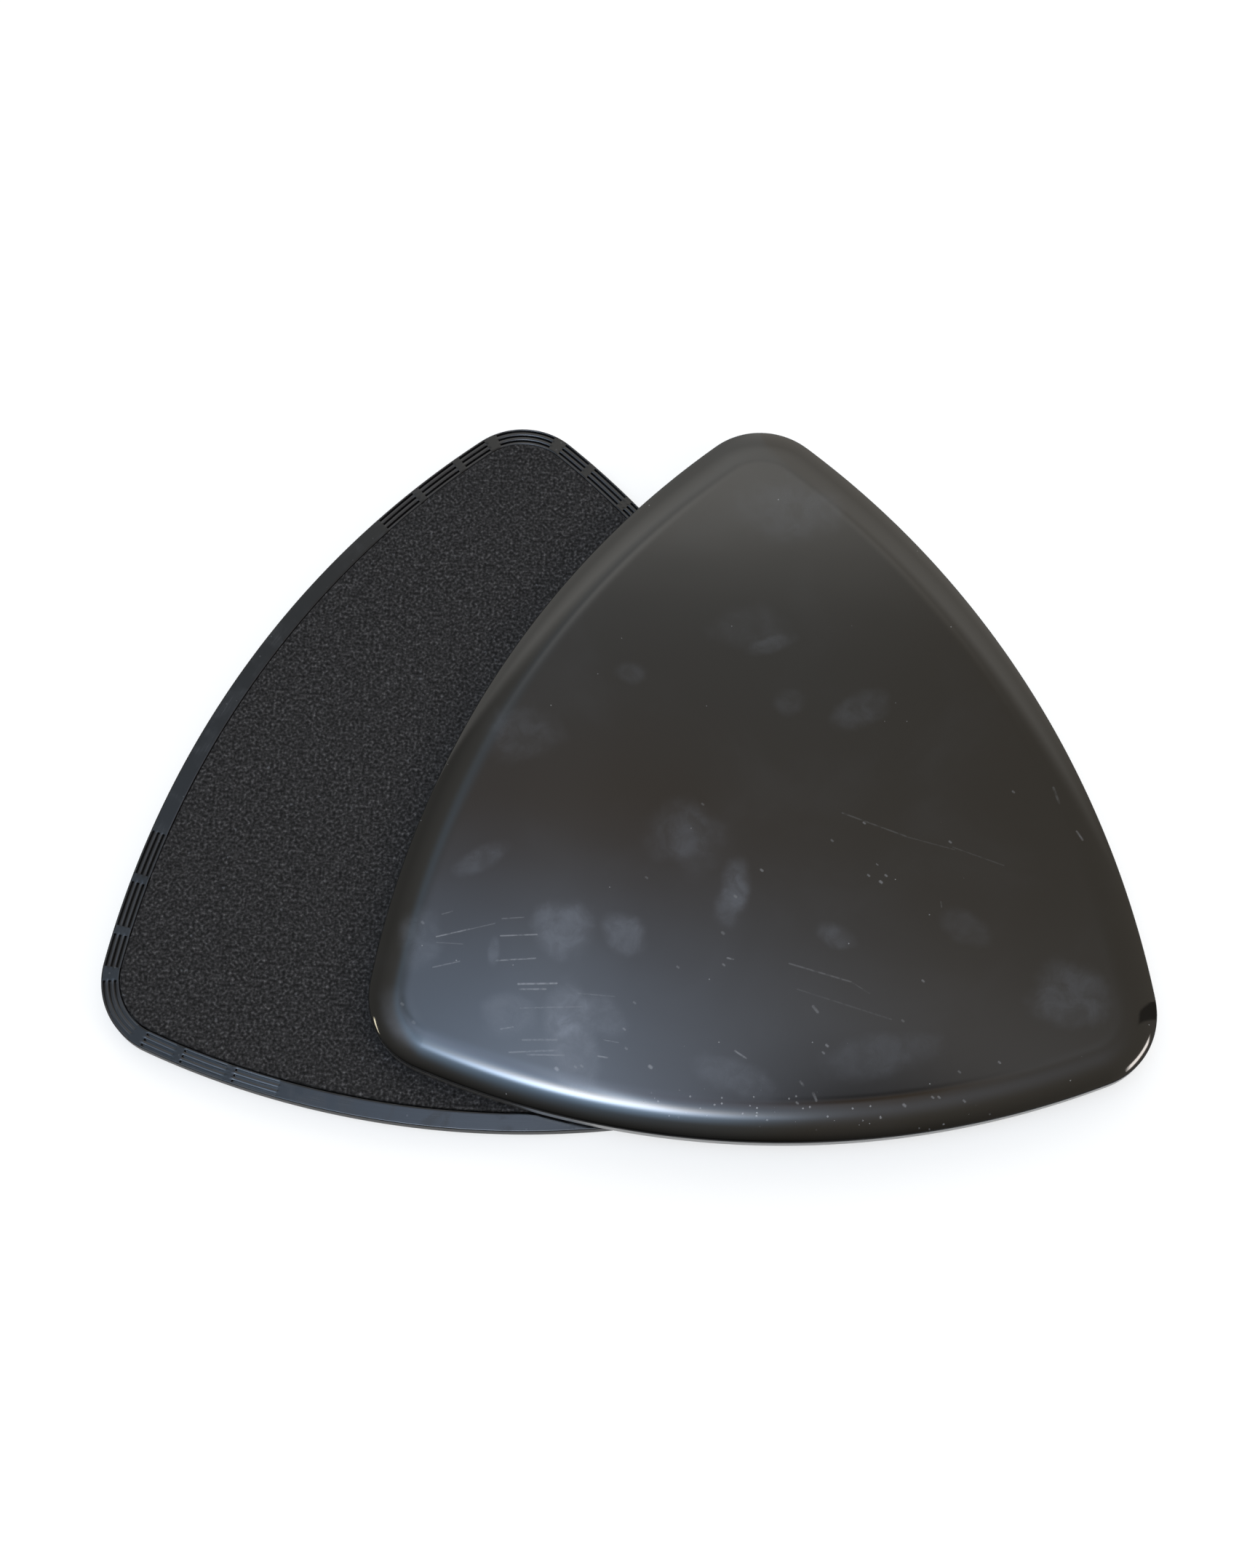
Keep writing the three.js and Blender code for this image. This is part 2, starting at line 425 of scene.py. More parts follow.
class Wiring:
    """Adds nodes to one node tree and joins them."""

    def __init__(self, tree: bpy.types.NodeTree) -> None:
        """Keeps the tree to add to."""
        self.tree = tree

    def add(
        self, kind: str, values: dict[str, Any] | None = None, **settings: Any
    ) -> bpy.types.Node:
        """Adds a node, with its settings made before its sockets are fed.

        Args:
            kind: the node's type.
            values: what goes into its input sockets, by name: a number, a colour or a socket.
            **settings: its own settings.

        Returns:
            The node.
        """
        node = self.tree.nodes.new(kind)
        for name, value in settings.items():
            setattr(node, name, value)
        self.fill(node, values or {})
        return node

    def fill(self, node: bpy.types.Node, values: dict[str, Any]) -> None:
        """Feeds a node's input sockets by name."""
        for name, value in values.items():
            self.feed(node.inputs[name], value)

    def feed(self, socket: bpy.types.NodeSocket, value: Any) -> None:
        """Sets an input socket to a value, or joins another socket to it.

        Args:
            socket: the input socket.
            value: the value or the other socket.
        """
        if isinstance(value, bpy.types.NodeSocket):
            self.tree.links.new(value, socket)
        else:
            socket.default_value = value

    def group(self, tree: bpy.types.NodeTree, values: dict[str, Any]) -> bpy.types.NodeSocket:
        """The first output of a node group placed with its own values.

        Args:
            tree: the group.
            values: what goes into its inputs, by name: a number, a vector or a socket.

        Returns:
            The output's socket.
        """
        return self.add("ShaderNodeGroup", values, node_tree=tree).outputs[0]

    def sum_up(self, operation: str, *values: Any) -> bpy.types.NodeSocket:
        """Adds a Math node.

        Args:
            operation: what it works out.
            *values: the sockets and numbers that it reads, in order.

        Returns:
            The result's socket.
        """
        node = self.tree.nodes.new("ShaderNodeMath")
        node.operation = operation
        for socket, value in zip(node.inputs, values):
            self.feed(socket, value)
        return node.outputs[0]

    def vector(self, operation: str, *values: Any) -> bpy.types.Node:
        """Adds a Vector Math node.

        Args:
            operation: what it works out.
            *values: the sockets and vectors that it reads, in order.

        Returns:
            The node, since its result is a vector or a number.
        """
        node = self.tree.nodes.new("ShaderNodeVectorMath")
        node.operation = operation
        for socket, value in zip(node.inputs, values):
            self.feed(socket, value)
        return node

    def scaled(self, vector: Any, scale: Any) -> bpy.types.NodeSocket:
        """Multiplies a vector or colour by a number.

        Args:
            vector: the vector or colour, or a socket.
            scale: the number, or a socket.

        Returns:
            The product's socket.
        """
        node = self.add("ShaderNodeVectorMath", operation="SCALE")
        self.feed(node.inputs[0], vector)
        self.feed(node.inputs["Scale"], scale)
        return node.outputs[0]

    def step(self, value: Any, low: Any, high: Any, to: Pair = (0, 1)) -> bpy.types.NodeSocket:
        """A smooth step of a value.

        Args:
            value: the socket that it reads.
            low: where it starts to rise.
            high: where it is all the way up.
            to: its values below low and above high.

        Returns:
            The result's socket.
        """
        levels = {"From Min": low, "From Max": high, "To Min": to[0], "To Max": to[1]}
        given = {"Value": value, **levels}
        node = self.add("ShaderNodeMapRange", given, interpolation_type="SMOOTHSTEP", clamp=True)
        return node.outputs["Result"]

    def mix(self, share: Any, first: Any, second: Any) -> bpy.types.NodeSocket:
        """Result of a colour Mix node.

        Args:
            share: how much of the second colour.
            first: a colour or a socket.
            second: a colour or a socket.

        Returns:
            The result's socket.
        """
        node = self.add("ShaderNodeMix", data_type="RGBA")
        for number, value in ((0, share), (6, first), (7, second)):
            self.feed(node.inputs[number], value)
        return node.outputs[2]

    def noise(
        self, vector: Any, scale: Any, detail: float = 2, rough: float = 0.5, warp: float = 0
    ) -> bpy.types.NodeSocket:
        """Value of a Noise Texture.

        Args:
            vector: where it is read.
            scale: how many times a metre it varies.
            detail: how many finer layers it has.
            rough: how strong these are.
            warp: how far it is drawn out of shape.

        Returns:
            The value's socket.
        """
        layers = {"Detail": detail, "Roughness": rough, "Distortion": warp}
        given = {"Vector": vector, "Scale": scale, **layers}
        return self.add("ShaderNodeTexNoise", given).outputs["Fac"]

    def bump(self, shader: bpy.types.Node, height: Any, strength: float, distance: float) -> None:
        """Makes a shader's surface rise and sink.

        Args:
            shader: the shader.
            height: the socket that says how far up the surface is.
            strength: how much of it shows.
            distance: what a height of 1 stands for.
        """
        given = {"Height": height, "Strength": strength, "Distance": distance}
        self.feed(shader.inputs["Normal"], self.add("ShaderNodeBump", given).outputs["Normal"])


def mask_group(
    name: str, inputs: dict[str, Any]
) -> tuple[bpy.types.NodeTree, Wiring, bpy.types.Node, bpy.types.Node]:
    """An empty shader node group that gives a mask.

    Args:
        name: name of the group.
        inputs: name and default value of each input after Vector. A number's socket holds a
            number, and a tuple's holds a vector.

    Returns:
        The group, its wiring, and its input and output nodes.
    """
    group = bpy.data.node_groups.new(name, "ShaderNodeTree")
    for label, default in {"Vector": (0.0, 0.0, 0.0), **inputs}.items():
        kind = "NodeSocketVector" if isinstance(default, tuple) else "NodeSocketFloat"
        socket = group.interface.new_socket(name=label, in_out="INPUT", socket_type=kind)
        socket.default_value = default
    group.interface.new_socket(name="Mask", in_out="OUTPUT", socket_type="NodeSocketFloat")
    wiring = Wiring(group)
    return group, wiring, wiring.add("NodeGroupInput"), wiring.add("NodeGroupOutput")


SMEAR_UNEVEN = 1.1
SMEAR_FADE = (0.45, 1.1)
LINE_FADE = (0.3, 1.2)


class Effects:
    """Surface effects that the finishes share, each built once."""

    def __init__(self) -> None:
        """Builds the groups."""
        self.specks = self.build_specks()
        self.clouds = self.build_clouds()
        self.smear = self.build_smear()
        self.hairline = self.build_hairline()

    @staticmethod
    def build_specks() -> bpy.types.NodeTree:
        """Specks of dust: round dots in a share of the cells of a Voronoi pattern.

        Returns:
            The group.
        """
        defaults = {"Cells": 400.0, "Size": 0.2, "Kept": 0.3}
        group, wiring, given, out = mask_group("dust_specks", defaults)
        read = {"Vector": given.outputs["Vector"], "Scale": given.outputs["Cells"]}
        cells = wiring.add("ShaderNodeTexVoronoi", read)
        parts = wiring.add("ShaderNodeSeparateColor", {"Color": cells.outputs["Color"]})
        chance = parts.outputs["Red"]
        near = wiring.sum_up("LESS_THAN", cells.outputs["Distance"], given.outputs["Size"])
        kept = wiring.sum_up("LESS_THAN", chance, given.outputs["Kept"])
        wiring.feed(out.inputs["Mask"], wiring.sum_up("MULTIPLY", near, kept))
        return group

    @staticmethod
    def build_clouds() -> bpy.types.NodeTree:
        """Soft clouds: a warped noise, stretched to run from 0 to 1 between two of its levels.

        Returns:
            The group.
        """
        defaults = {"Scale": 20.0, "Low": 0.45, "High": 0.7}
        group, wiring, given, out = mask_group("soft_clouds", defaults)
        read = given.outputs["Vector"]
        clouds = wiring.noise(read, given.outputs["Scale"], detail=4, rough=0.55, warp=0.6)
        shaped = wiring.step(clouds, given.outputs["Low"], given.outputs["High"])
        wiring.feed(out.inputs["Mask"], shaped)
        return group

    @staticmethod
    def build_smear() -> bpy.types.NodeTree:
        """A smear left by a hand: a ragged oval that fades at its edge and is broken by wisps.

        The distance from the centre, in shares of the half sizes, gets a share of a noise added
        before it is cut off, which makes the oval's edge ragged.

        Returns:
            The group.
        """
        defaults = {
            "Centre": (0.0, 0.0, 0.0),
            "Turn": (0.0, 0.0, 0.0),
            "Half size": (0.01, 0.006, 1.0),
            "Ragged": 0.5,
            "Wisps": 1.0,
            "Strength": 1.0,
        }
        group, wiring, given, out = mask_group("hand_smear", defaults)
        centre = given.outputs["Centre"]
        away = wiring.vector("SUBTRACT", given.outputs["Vector"], centre).outputs[0]
        local = wiring.add(
            "ShaderNodeVectorRotate",
            {"Vector": away, "Rotation": given.outputs["Turn"]},
            rotation_type="EULER_XYZ",
            invert=True,
        )
        flat = wiring.vector("MULTIPLY", local.outputs[0], (1.0, 1.0, 0.0)).outputs[0]
        shares = wiring.vector("DIVIDE", flat, given.outputs["Half size"]).outputs[0]
        reach = wiring.vector("LENGTH", shares).outputs["Value"]
        ragged = given.outputs["Ragged"]
        uneven = wiring.sum_up("MULTIPLY_ADD", ragged, SMEAR_UNEVEN, -SMEAR_UNEVEN / 2)
        oval = wiring.step(wiring.sum_up("ADD", reach, uneven), *SMEAR_FADE, (1, 0))
        shaped = wiring.sum_up("MULTIPLY", oval, given.outputs["Wisps"])
        strong = wiring.sum_up("MULTIPLY", shaped, given.outputs["Strength"])
        wiring.feed(out.inputs["Mask"], strong)
        return group

    @staticmethod
    def build_hairline() -> bpy.types.NodeTree:
        """A hairline scratch: near enough to a straight stretch.

        The nearest point of the stretch is its start plus its run times a share, which is the
        scalar product with the run over the run's square, kept between 0 and 1.

        Returns:
            The group.
        """
        defaults = {
            "Start": (0.0, 0.0, 0.0),
            "Run": (0.01, 0.0, 0.0),
            "Width": 0.0001,
            "Strength": 1.0,
        }
        group, wiring, given, out = mask_group("hairline", defaults)
        flat = wiring.vector("MULTIPLY", given.outputs["Vector"], (1.0, 1.0, 0.0)).outputs[0]
        away = wiring.vector("SUBTRACT", flat, given.outputs["Start"]).outputs[0]
        run = given.outputs["Run"]
        along = wiring.sum_up(
            "DIVIDE",
            wiring.vector("DOT_PRODUCT", away, run).outputs["Value"],
            wiring.vector("DOT_PRODUCT", run, run).outputs["Value"],
        )
        nearest = wiring.scaled(run, wiring.add("ShaderNodeClamp", {"Value": along}).outputs[0])
        gap = wiring.vector("DISTANCE", away, nearest).outputs["Value"]
        share = wiring.sum_up("DIVIDE", gap, given.outputs["Width"])
        line = wiring.step(share, *LINE_FADE, (1, 0))
        wiring.feed(out.inputs["Mask"], wiring.sum_up("MULTIPLY", line, given.outputs["Strength"]))
        return group


@dataclass(frozen=True)
class Smear:
    """A smear on a glide face: centre and half sizes in millimetres, turn and strength."""

    centre: Pair
    half_size: Pair
    turn_degrees: float
    strength: float


@dataclass(frozen=True)
class Scratch:
    """A scratch or speck: start, run and half width in millimetres, and strength."""

    start: Pair
    run: Pair
    width: float
    strength: float


# Marks on the glide faces, as places across the pair in millimetres
SPECK_RUN = (0.4, -0.3)
HAND_SMEARS = (
    Smear((21, -35), (10, 9), 0, 0.75),
    Smear((38, -36), (8, 6), -40, 0.6),
    Smear((-21, -40), (7, 10), 0, 0.4),
    Smear((23, -58), (7, 9), 0, 0.85),
    Smear((25, -71), (8, 12), 10, 0.85),
    Smear((-5, -16), (10, 4), 30, 0.35),
    Smear((59, -7), (9, 13), 0, 0.2),
    Smear((69, -24), (5, 10), -10, 0.35),
    Smear((34, -60), (6, 9), 50, 0.45),
    Smear((-25, -63), (6, 10), 30, 0.25),
    Smear((1, -43), (2, 5), 0, 0.5),
    Smear((106, 36), (10, 6), 30, 0.25),
    Smear((72, 60), (14, 8), 0, 0.15),
    Smear((79, 55), (9, 3), 20, 0.2),
    Smear((85, 37), (5, 5), 0, 0.18),
    Smear((37, 44), (6, 4), 0, 0.2),
    Smear((4, 23), (13, 10), 0, 0.25),
    Smear((167, -47), (12, 11), 0, 0.35),
    Smear((100, -34), (7, 4), -20, 0.45),
    Smear((137, -29), (8, 5), -30, 0.15),
    Smear((53, -3), (10, 12), -40, 0.2),
    Smear((70, -20), (5, 9), 0, 0.3),
    Smear((72, -76), (14, 6), -20, 0.4),
    Smear((111, -68), (20, 7), 15, 0.3),
    Smear((83, 100), (20, 12), 0, 0.25),
    Smear((6, -61), (8, 7), 0, 0.5),
)

HAIR_SCRATCHES = (
    Scratch((-16.0, -39.4), (9.3, 2.6), 0.24, 0.8),
    Scratch((-6.6, -36.8), (7.3, 2.1), 0.19, 0.32),
    Scratch((2.6, -38.3), (10.5, 0.9), 0.26, 0.72),
    Scratch((2.7, -33.2), (6.3, 0.7), 0.21, 0.36),
    Scratch((-14.8, -32.7), (2.9, 1.0), 0.21, 0.32),
    Scratch((1.8, -45.6), (11.3, 1.2), 0.26, 0.64),
    Scratch((-16.4, -48.4), (7.6, 2.1), 0.24, 0.4),
    Scratch((8.5, -52.1), (11.1, 0.7), 0.32, 0.8),
    Scratch((9.0, -53.6), (7.5, 0.4), 0.29, 0.64),
    Scratch((-15.8, -41.1), (7.6, -0.1), 0.21, 0.24),
    Scratch((9.5, -59.0), (17.7, 1.2), 0.24, 0.28),
    Scratch((26.0, -54.0), (10.5, -0.4), 0.21, 0.28),
    Scratch((4.3, -65.3), (3.5, 0.8), 0.24, 0.48),
    Scratch((10.7, -68.1), (9.8, 0.5), 0.32, 0.36),
    Scratch((7.2, -71.8), (13.4, 1.2), 0.32, 0.4),
    Scratch((12.4, -72.2), (10.4, 0.3), 0.29, 0.4),
    Scratch((32.5, -71.7), (2.7, -0.3), 0.27, 0.64),
    Scratch((33.9, -67.0), (4.2, -0.6), 0.21, 0.4),
    Scratch((101.2, 3.2), (18.7, -6.2), 0.27, 0.2),
    Scratch((119.9, -3.1), (14.3, -3.3), 0.22, 0.12),
    Scratch((133.8, -5.7), (14.9, -4.8), 0.22, 0.12),
    Scratch((86.4, -42.5), (17.9, -4.5), 0.29, 0.3),
    Scratch((104.3, -47.0), (5.3, -3.1), 0.21, 0.17),
    Scratch((88.7, -49.8), (27.2, -7.5), 0.26, 0.12),
    Scratch((71.4, -68.4), (3.2, -1.9), 0.32, 0.64),
    Scratch((163.7, 13.9), (1.6, -4.6), 0.44, 0.2),
    Scratch((90.2, -76.2), (0.8, -1.0), 0.4, 0.4),
    Scratch((93.9, -79.3), (0.9, -2.0), 0.44, 0.5),
    Scratch((93.5, -54.6), (1.3, -1.6), 0.48, 0.4),
    Scratch((68.5, -41.7), (1.7, -0.3), 0.32, 0.56),
    Scratch((170.3, 0.8), (1.7, -2.4), 0.36, 0.45),
    Scratch((130.2, -22.3), (0.2, -1.5), 0.24, 0.25),
)

STRAY_SPECKS = tuple(
    Scratch(start, SPECK_RUN, width, strength)
    for start, width, strength in (
        ((47.3, -73.9), 0.6, 0.7),
        ((20.7, -75.7), 0.6, 0.7),
        ((26.0, -74.9), 0.36, 0.42),
        ((27.8, -74.6), 0.36, 0.42),
        ((-20.5, -35.3), 0.48, 0.35),
        ((112.5, -17.0), 0.48, 0.63),
        ((114.0, -15.0), 0.36, 0.56),
        ((108.9, -15.2), 0.36, 0.49),
        ((111.4, -11.8), 0.24, 0.42),
        ((77.6, -15.1), 0.42, 0.56),
        ((107.5, 0.6), 0.36, 0.49),
        ((132.8, -4.0), 0.36, 0.49),
        ((98.1, -5.2), 0.36, 0.35),
        ((59.7, 4.1), 0.36, 0.28),
        ((70.1, -23.3), 0.48, 0.42),
        ((66.8, -34.3), 0.48, 0.35),
        ((67.3, -43.6), 0.36, 0.49),
        ((97.4, -65.5), 0.42, 0.63),
        ((96.4, -67.6), 0.36, 0.49),
        ((89.2, -82.1), 0.36, 0.56),
        ((119.5, -81.3), 0.48, 0.63),
        ((127.5, -78.7), 0.36, 0.56),
        ((129.3, -78.6), 0.36, 0.56),
        ((136.5, -79.3), 0.36, 0.49),
        ((146.5, -68.0), 0.36, 0.49),
        ((135.1, -71.2), 0.36, 0.35),
        ((124.8, -45.6), 0.36, 0.49),
        ((119.0, -57.4), 0.36, 0.28),
        ((151.6, 12.2), 0.36, 0.35),
        ((39.4, -63.5), 0.36, 0.49),
        ((42.0, -55.8), 0.36, 0.35),
        ((40.2, -69.0), 0.36, 0.35),
        ((54.1, -44.9), 0.36, 0.35),
        ((44.0, -18.9), 0.36, 0.28),
        ((-24.6, -59.3), 0.48, 0.35),
        ((-20.9, -64.4), 0.48, 0.28),
    )
)

NICKED_EDGE = Smear((92.0, -84.0), (62.0, 5.5), 0, 1.0)


@dataclass(frozen=True)
class Finish:
    """What a surface looks like."""

    def dress(self, wiring: Wiring, shader: bpy.types.Node, place: Any, effects: Effects) -> None:
        """Feeds a material's shader.

        Args:
            wiring: adds nodes to the material.
            shader: its Principled shader.
            place: its Object coordinates.
            effects: the shared effects.
        """
        raise NotImplementedError

    def material(self, name: str, effects: Effects) -> bpy.types.Material:
        """Builds the finish.

        Args:
            name: name of the material.
            effects: the shared effects.

        Returns:
            The material.
        """
        material = bpy.data.materials.new(name)
        material.use_nodes = True
        wiring = Wiring(material.node_tree)
        place = wiring.add("ShaderNodeTexCoord").outputs["Object"]
        self.dress(wiring, material.node_tree.nodes["Principled BSDF"], place, effects)
        return material


@dataclass(frozen=True)
class GlossFinish(Finish):
    """Black moulded plastic, polished, with the marks that hands and use leave on it."""

    colour: Colour = (0.0024, 0.0021, 0.0018)
    # Partly the smears' own milky film and partly a painted sheen: the blue tint stands in for the
    # lamp's scattered reflection
    grease_and_sheen_colour: Colour = (0.043, 0.047, 0.055)
    mark_colour: Colour = (0.15, 0.15, 0.155)
    ior: float = 1.59
    roughness: Pair = (0.055, 0.12)
    haze: float = 0.1
    ragged_scale: float = 75.0
    wisp_scale: float = 170.0
    wisp_range: Pair = (0.5, 1.45)
    break_scale: float = 620.0
    wave_scale: float = 34.0
    wave_height: float = 0.03 * MM

    @staticmethod
    def oval(smear: Smear, place: Any, ragged: Any, wisps: Any) -> dict[str, Any]:
        """Works out what one smear feeds into the group that draws it.

        Args:
            smear: the smear.
            place: the material's Object coordinates.
            ragged: how far its edge strays from an oval, as a number or a socket.
            wisps: how strong it is from place to place, as a number or a socket.

        Returns:
            The values by the names of the group's inputs.
        """
        return {
            "Vector": place,
            "Centre": (smear.centre[0] * MM, smear.centre[1] * MM, 0.0),
            "Turn": (0.0, 0.0, math.radians(smear.turn_degrees)),
            "Half size": (smear.half_size[0] * MM, smear.half_size[1] * MM, 1.0),
            "Ragged": ragged,
            "Wisps": wisps,
            "Strength": smear.strength,
        }

    @staticmethod
    def line(
        wiring: Wiring, scratch: Scratch, place: Any, effects: Effects
    ) -> bpy.types.NodeSocket:
        """Draws one scratch or speck.

        Args:
            wiring: adds nodes to the material.
            scratch: the scratch or speck.
            place: the material's Object coordinates.
            effects: the shared effects.

        Returns:
            The socket that says where it is.
        """
        start, run = ((pair[0] * MM, pair[1] * MM, 0.0) for pair in (scratch.start, scratch.run))
        given = {"Vector": place, "Start": start, "Run": run, "Width": scratch.width * MM}
        return wiring.group(effects.hairline, {**given, "Strength": scratch.strength})

    def smeared(self, wiring: Wiring, place: Any, effects: Effects) -> bpy.types.NodeSocket:
        """Lays the smears over a faint haze.

        Args:
            wiring: adds nodes to the material.
            place: its Object coordinates.
            effects: the shared effects.

        Returns:
            The socket that says how much grease lies on the gloss.
        """
        given = {"Vector": place, "Scale": 24.0, "Low": 0.48, "High": 0.85}
        marks = wiring.sum_up("MULTIPLY", wiring.group(effects.clouds, given), self.haze)
        ragged = wiring.noise(place, self.ragged_scale, detail=4, rough=0.55, warp=0.3)
        streaks = wiring.noise(place, self.wisp_scale, detail=5, rough=0.6, warp=0.5)
        wisps = wiring.step(streaks, 0.3, 0.7, self.wisp_range)
        for smear in HAND_SMEARS:
            mask = wiring.group(effects.smear, self.oval(smear, place, ragged, wisps))
            marks = wiring.sum_up("ADD", marks, mask)
        return marks

    def scratched(self, wiring: Wiring, place: Any, effects: Effects) -> bpy.types.NodeSocket:
        """Draws the scratches, the nicks along the near edge, and the dust.

        Args:
            wiring: adds nodes to the material.
            place: its Object coordinates.
            effects: the shared effects.

        Returns:
            The socket that says where the gloss is scratched, nicked or dusty.
        """
        lines: Any = 0.0
        for scratch in HAIR_SCRATCHES:
            lines = wiring.sum_up("MAXIMUM", lines, self.line(wiring, scratch, place, effects))
        breaks = wiring.noise(place, self.break_scale, detail=3)
        broken = wiring.step(breaks, 0.3, 0.58, (0.25, 1.0))
        marks = wiring.sum_up("MULTIPLY", lines, broken)
        for speck in STRAY_SPECKS:
            marks = wiring.sum_up("MAXIMUM", marks, self.line(wiring, speck, place, effects))
        edge = wiring.group(effects.smear, self.oval(NICKED_EDGE, place, 0.5, 1.0))
        given = {"Vector": place, "Cells": 1000.0, "Size": 0.3, "Kept": 0.1}
        nicks = wiring.sum_up("MULTIPLY", wiring.group(effects.specks, given), edge)
        given = {"Vector": place, "Cells": 300.0, "Size": 0.06, "Kept": 0.1}
        dust = wiring.group(effects.specks, given)
        return wiring.sum_up("MAXIMUM", wiring.sum_up("MAXIMUM", marks, nicks), dust)

    def dress(self, wiring: Wiring, shader: bpy.types.Node, place: Any, effects: Effects) -> None:
        """Feeds the shader: grease adds a bluish haze to the plastic's colour, partly its own milky
        film and partly a painted sheen of the lamp, and scratches cover both.

        Args:
            wiring: adds nodes to the material.
            shader: its Principled shader.
            place: its Object coordinates.
            effects: the shared effects.
        """
        marks = self.smeared(wiring, place, effects)
        scratches = self.scratched(wiring, place, effects)
        # Painted sheen: the smears add the bluish haze colour, partly their real milky film and
        # partly the lamp's scattered reflection painted in
        greased_and_sheened = wiring.vector("ADD", wiring.scaled(self.grease_and_sheen_colour, marks), self.colour).outputs[0]
        scored = wiring.mix(scratches, greased_and_sheened, (*self.mark_colour, 1))
        rough = wiring.step(marks, 0.0, 1.0, self.roughness)
        wiring.fill(shader, {"Base Color": scored, "Roughness": rough, "IOR": self.ior})
        waves = wiring.noise(place, self.wave_scale, detail=1)
        wiring.bump(shader, waves, 1.0, self.wave_height)


@dataclass(frozen=True)
class RimFinish(Finish):
    """The same plastic on the rim, with fine lines along it and dust, and a painted highlight that
    lightens its grooved stretches.
    """

    colour: Colour = (0.0035, 0.0034, 0.0034)
    dust_and_highlight_colour: Colour = (0.06, 0.06, 0.064)
    ior: float = 1.59
    specular: float = 0.3
    roughness: Pair = (0.12, 0.24)
    line_scale: float = 2600.0
    drawn_scale: float = 60.0
    soil: float = 0.3
    groove_painted_highlight: float = 0.2
    dust: float = 0.5
    line_height: float = 0.012 * MM

    def dress(self, wiring: Wiring, shader: bpy.types.Node, place: Any, effects: Effects) -> None:
        """Feeds the shader. The lines come from a noise that varies fast only with the inset.

        Args:
            wiring: adds nodes to the material.
            shader: its Principled shader.
            place: its Object coordinates.
            effects: the shared effects.
        """
        inset = wiring.add("ShaderNodeAttribute", attribute_name=EDGE_INSET).outputs["Fac"]
        away = wiring.sum_up("MULTIPLY", inset, self.line_scale)
        across = wiring.add("ShaderNodeCombineXYZ", {"Z": away}).outputs[0]
        drawn = wiring.vector("ADD", wiring.scaled(place, self.drawn_scale), across).outputs[0]
        along = wiring.noise(drawn, 1.0, detail=3, rough=0.6)
        lines = wiring.step(along, 0.45, 0.75)
        given = {"Vector": place, "Scale": 140.0, "Low": 0.42, "High": 0.75}
        dirt = wiring.group(effects.clouds, given)
        given = {"Vector": place, "Cells": 700.0, "Size": 0.2, "Kept": 0.06}
        dust = wiring.group(effects.specks, given)
        grooved = wiring.add("ShaderNodeAttribute", attribute_name=GROOVED).outputs["Fac"]
        soil = wiring.sum_up("MULTIPLY", wiring.sum_up("MULTIPLY", dirt, lines), self.soil)
        # Painted highlight: the grooved stretches are lightened towards the pale colour, standing
        # in for glints on the edges of the lands between the grooves
        soil = wiring.sum_up("MULTIPLY_ADD", grooved, self.groove_painted_highlight, soil)
        soiled_and_highlit = wiring.mix(soil, (*self.colour, 1), (*self.dust_and_highlight_colour, 1))
        dust = wiring.sum_up("MULTIPLY", dust, self.dust)
        dusty = wiring.mix(dust, soiled_and_highlit, (*self.dust_and_highlight_colour, 1))
        wiring.fill(shader, {
            "Base Color": dusty,
            "Roughness": wiring.step(dirt, 0.0, 1.0, self.roughness),
            "Specular IOR Level": self.specular,
            "IOR": self.ior,
        })
        wiring.bump(shader, along, 0.6, self.line_height)


@dataclass(frozen=True)
class LipFinish(Finish):
    """The same plastic on the upright lip, dulled. Its default light grey colours are a painted
    reflection of the pale floor.
    """

    # Painted reflection: light grey standing in for the pale floor mirrored in the upper disc's lip
    colour: Colour = (0.08, 0.077, 0.074)
    cloud_colour: Colour = (0.14, 0.134, 0.128)
    cloud_share: float = 0.45
    ior: float = 1.59
    roughness: float = 0.3
    specular: float = 0.5
    grain_scale: float = 1300.0
    grain_height: float = 0.03 * MM

    def dress(self, wiring: Wiring, shader: bpy.types.Node, place: Any, effects: Effects) -> None:
        """Feeds the shader: lighter clouds over a fine grain. With the default colours, base and
        clouds are a painted reflection of the pale floor.

        Args:
            wiring: adds nodes to the material.
            shader: its Principled shader.
            place: its Object coordinates.
            effects: the shared effects.
        """
        given = {"Vector": place, "Scale": 210.0, "Low": 0.42, "High": 0.72}
        cloud_share = wiring.sum_up("MULTIPLY", wiring.group(effects.clouds, given), self.cloud_share)
        wiring.fill(shader, {
            "Base Color": wiring.mix(cloud_share, (*self.colour, 1), (*self.cloud_colour, 1)),
            "Roughness": self.roughness,
            "Specular IOR Level": self.specular,
            "IOR": self.ior,
        })
        wiring.bump(shader, wiring.noise(place, self.grain_scale, detail=2), 0.5, self.grain_height)


